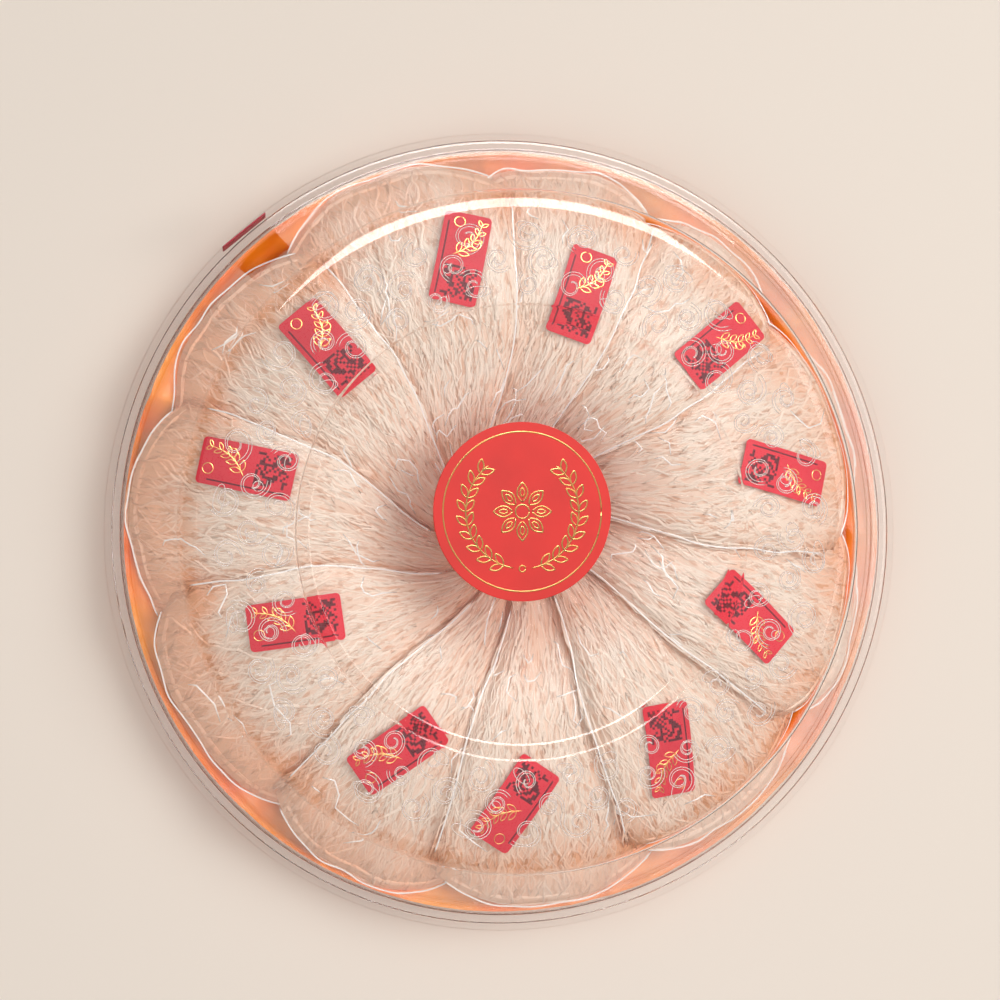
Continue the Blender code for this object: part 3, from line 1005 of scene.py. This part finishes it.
def make_tray(look):
    flange = TRAY_DEPTH + SHEET
    inside = FLANGE_RADIUS - SHEET
    floor = TRAY_FLOOR_RADIUS - SHEET
    profile = [(0.0001, SHEET), (0.060, SHEET), (0.110, SHEET)]
    profile += filleted((0, SHEET), (floor, SHEET), (inside, flange), FOOT_FILLET - SHEET, 5)
    profile += [(inside - 0.0012, flange * 0.72)]
    profile += filleted((floor, SHEET), (inside, flange), (RIM_RADIUS, flange), 0.0006, 3)
    profile += [(0.1285, flange), (RIM_RADIUS - 0.0002, flange)]
    profile += [(RIM_RADIUS, flange - 0.0002), (RIM_RADIUS, TRAY_DEPTH), (0.1285, TRAY_DEPTH)]
    profile += [(FLANGE_RADIUS + 0.0004, TRAY_DEPTH), (FLANGE_RADIUS - 0.0002, TRAY_DEPTH - 0.0006)]
    corner = filleted((FLANGE_RADIUS, TRAY_DEPTH), (TRAY_FLOOR_RADIUS, 0), (0, 0), FOOT_FILLET, 5)
    profile += corner + [(0.110, 0), (0.060, 0), (0.0001, 0)]
    tray = turned("tray_shell", profile, look, ROUND_STEPS)
    tray.visible_shadow = False
    tray.visible_diffuse = False
    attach(tray, "root")
    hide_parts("tray")


def make_satin(look):
    """The bed's cloth: smooth under the nests, and gathered in soft folds up the tray's wall."""
    radii = np.concatenate([[0.0001, 0.03, 0.055], np.linspace(0.075, 0.1232, 46)])
    turn = np.arange(BED_STEPS) * math.tau / BED_STEPS
    radius, turn = np.meshgrid(radii, turn, indexing="ij")
    on_lip = smooth_step((radius - BED_LIP_START) / (BED_LIP_RADIUS - BED_LIP_START))
    height = BED_TOP + BED_LIP_RISE * on_lip
    lip = smooth_step((radius - 0.094) / 0.020)
    x = radius * np.cos(turn)
    y = radius * np.sin(turn)
    swirl = 6 * lattice_noise(x / 0.04 + 9, y / 0.04 + 9, 301)
    folds = 0.0
    for waves, reach, seed in BED_FOLDS:
        skew = swirl * 0.35 + 18 * (radius - 0.11) * math.sin(seed)
        ridge = 1 - np.abs(np.sin(waves * turn / 2 + skew * seed + seed))
        folds = folds + reach * (ridge**1.6 - 0.4)
    gap = np.zeros_like(radius)
    for index in range(len(NESTS)):
        apart = (turn - float(lead_angle(index, 0.115)) + math.pi) % math.tau - math.pi
        gap += np.exp(-((apart / math.radians(5.0)) ** 2))
    swell = 0.0026 * gap * smooth_step((radius - 0.111) / 0.006)
    wall = 0.0022 * smooth_step((radius - 0.1195) / 0.0030)
    height = height + lip * folds + swell + wall
    points = np.stack([x, y, height], axis=-1).reshape(-1, 3)
    faces = grid_faces(len(radii), BED_STEPS, closed=True).tolist() + [list(range(BED_STEPS))]
    satin = new_object("satin_bed", points, faces, look)
    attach(satin, "root")
    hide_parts("lining")
    return satin


def scroll(centre, heading, radius, hand, turns, steps=40):
    """A curl: a tail that bends over into a spiral."""
    share = np.linspace(0, 1, steps)
    reach = radius * (1.5 - 1.15 * share**0.8)
    turn = heading + hand * math.tau * turns * share
    return np.stack([centre[0] + reach * np.cos(turn), centre[1] + reach * np.sin(turn)], axis=-1)


def oval(centre, heading, length, width, steps=26):
    turn = np.linspace(0, math.tau, steps)
    return headed(centre, heading, length / 2 * np.cos(turn), width / 2 * np.sin(turn))


def scroll_lines():
    """Cloud scrolls: double curls in three rows, with small rings and long ovals between them."""
    rng = np.random.default_rng(7)
    lines = []
    pitch = math.tau * SCROLL_MIDDLE / SCROLL_CELLS
    for cell in range(SCROLL_CELLS):
        flat = []
        for row in (-1, 0, 1):
            aside = (0.5 * (row % 2) + rng.uniform(-0.12, 0.12)) * pitch
            centre = (aside, row * SCROLL_ROW + rng.uniform(-0.001, 0.001))
            heading = rng.uniform(0, math.tau)
            hand = rng.choice([-1, 1])
            radius = rng.uniform(0.0030, 0.0042)
            turns = rng.uniform(1.2, 1.7)
            for size in (radius, radius * 0.8):
                flat.append(scroll(centre, heading, size, hand, turns))
        spot = (rng.uniform(-0.1, 0.1) * pitch, rng.uniform(-0.0015, 0.0015))
        flat.append(circle(spot, rng.uniform(0.0012, 0.0020), 18))
        spot = (pitch * rng.uniform(0.4, 0.6), rng.choice([-1, 1]) * rng.uniform(0.0085, 0.0105))
        flat.append(oval(spot, rng.uniform(-0.8, 0.8), rng.uniform(0.006, 0.009), 0.0034))
        for line in flat:
            radius = SCROLL_MIDDLE + np.clip(line[:, 1], -SCROLL_BAND / 2, SCROLL_BAND / 2)
            angle = cell * math.tau / SCROLL_CELLS + line[:, 0] / SCROLL_MIDDLE
            places = [radius * np.cos(angle), radius * np.sin(angle), np.full(len(line), LID_TOP)]
            lines.append(np.stack(places, axis=-1))
    return lines


def make_floor(look):
    half = 3.0
    corners = [(-half, -half, 0), (half, -half, 0), (half, half, 0), (-half, half, 0)]
    floor = new_object("floor", corners, [[0, 1, 2, 3]], look)


def area_light(name, place, target, width, height, power, colour):
    data = bpy.data.lights.new(name, "AREA")
    data.shape = "RECTANGLE"
    data.size = width
    data.size_y = height
    data.energy = power
    data.color = colour
    light = bpy.data.objects.new(name, data)
    light.location = place
    aim = mathutils.Vector(target) - mathutils.Vector(place)
    light.rotation_euler = aim.to_track_quat("-Z", "Y").to_euler()
    bpy.context.scene.collection.objects.link(light)
    return light


def make_lights():
    """Soft light from above and the right, a weak fill from the left, a box that only shows as a
    reflection, and a dim world."""
    white = (1.0, 0.955, 0.925)
    sky = area_light("sky", (0.30, 0.18, 1.6), (0, 0, 0), 2.4, 2.4, 21.5, white)
    key = area_light("key", (0.95, 0.30, 1.15), (0, 0, 0), 0.9, 0.9, 9.0, white)
    fill = area_light("fill", (-0.65, -0.60, 1.1), (0, 0, 0), 1.2, 1.2, 4.5, (1.0, 0.93, 0.88))
    fill.visible_glossy = False
    sky.visible_glossy = False
    key.visible_glossy = False
    glow = (1.0, 0.97, 0.95)
    softbox = area_light("softbox", (0.08, 1.10, 1.00), (0, 0, 0.03), 1.5, 1.05, 48.0, glow)
    softbox.visible_diffuse = False
    world = bpy.data.worlds.new("studio")
    world.use_nodes = True
    world.node_tree.nodes["Background"].inputs[0].default_value = rgb(*white)
    world.node_tree.nodes["Background"].inputs[1].default_value = 0.13
    bpy.context.scene.world = world


def make_camera():
    data = bpy.data.cameras.new("camera")
    data.sensor_width = SENSOR
    data.lens = SENSOR * CAMERA_DISTANCE / FIELD_WIDTH
    data.shift_x, data.shift_y = SHIFT
    camera = bpy.data.objects.new("camera", data)
    away = (-math.sin(YAW) * CAMERA_DISTANCE, 0, AIM_HEIGHT + math.cos(YAW) * CAMERA_DISTANCE)
    camera.location = away
    camera.rotation_euler = (0, -YAW, 0)
    bpy.context.scene.collection.objects.link(camera)
    bpy.context.scene.camera = camera


def build():
    make_camera()
    make_lights()
    make_floor(floor_look())
    bpy.context.scene.view_settings.view_transform = "Standard"
    clear = plastic_look("clear_plastic", rgb(0.985, 0.98, 0.975))
    # The scrolls' white diffuse is a painted highlight
    embossed = plastic_look("embossed_plastic", rgb(1.0, 0.98, 0.97), painted_glint=0.19)
    foil = foil_look()
    strands = strand_look()
    film = film_look("film", 0.14, 0.12)
    # The creases' white diffuse is a painted glint
    crease_glint = film_look("film_crease_glint", 1.0, 0.20, painted_glint=0.75)
    label = label_look()
    sticker = paper_look("sticker_paper", rgb(0.80, 0.020, 0.013), roughness=0.55, coat=0.0)[0]
    seal = paper_look("seal_paper", rgb(0.42, 0.015, 0.04))[0]
    make_tray(clear)
    make_lid(clear)
    satin = make_satin(satin_look())
    for index in range(len(NESTS)):
        make_nest(index, strands)
        make_film(index, film, crease_glint)
        make_label(index, label, foil)
    make_sticker(sticker, foil)
    make_seal(seal)
    scrolls = bead_object("lid_scrolls", scroll_lines(), SCROLL_HALF_WIDTH, SCROLL_HEIGHT, embossed)
    scrolls.visible_shadow = False
    scrolls.visible_diffuse = False
    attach(scrolls, "root")


build()
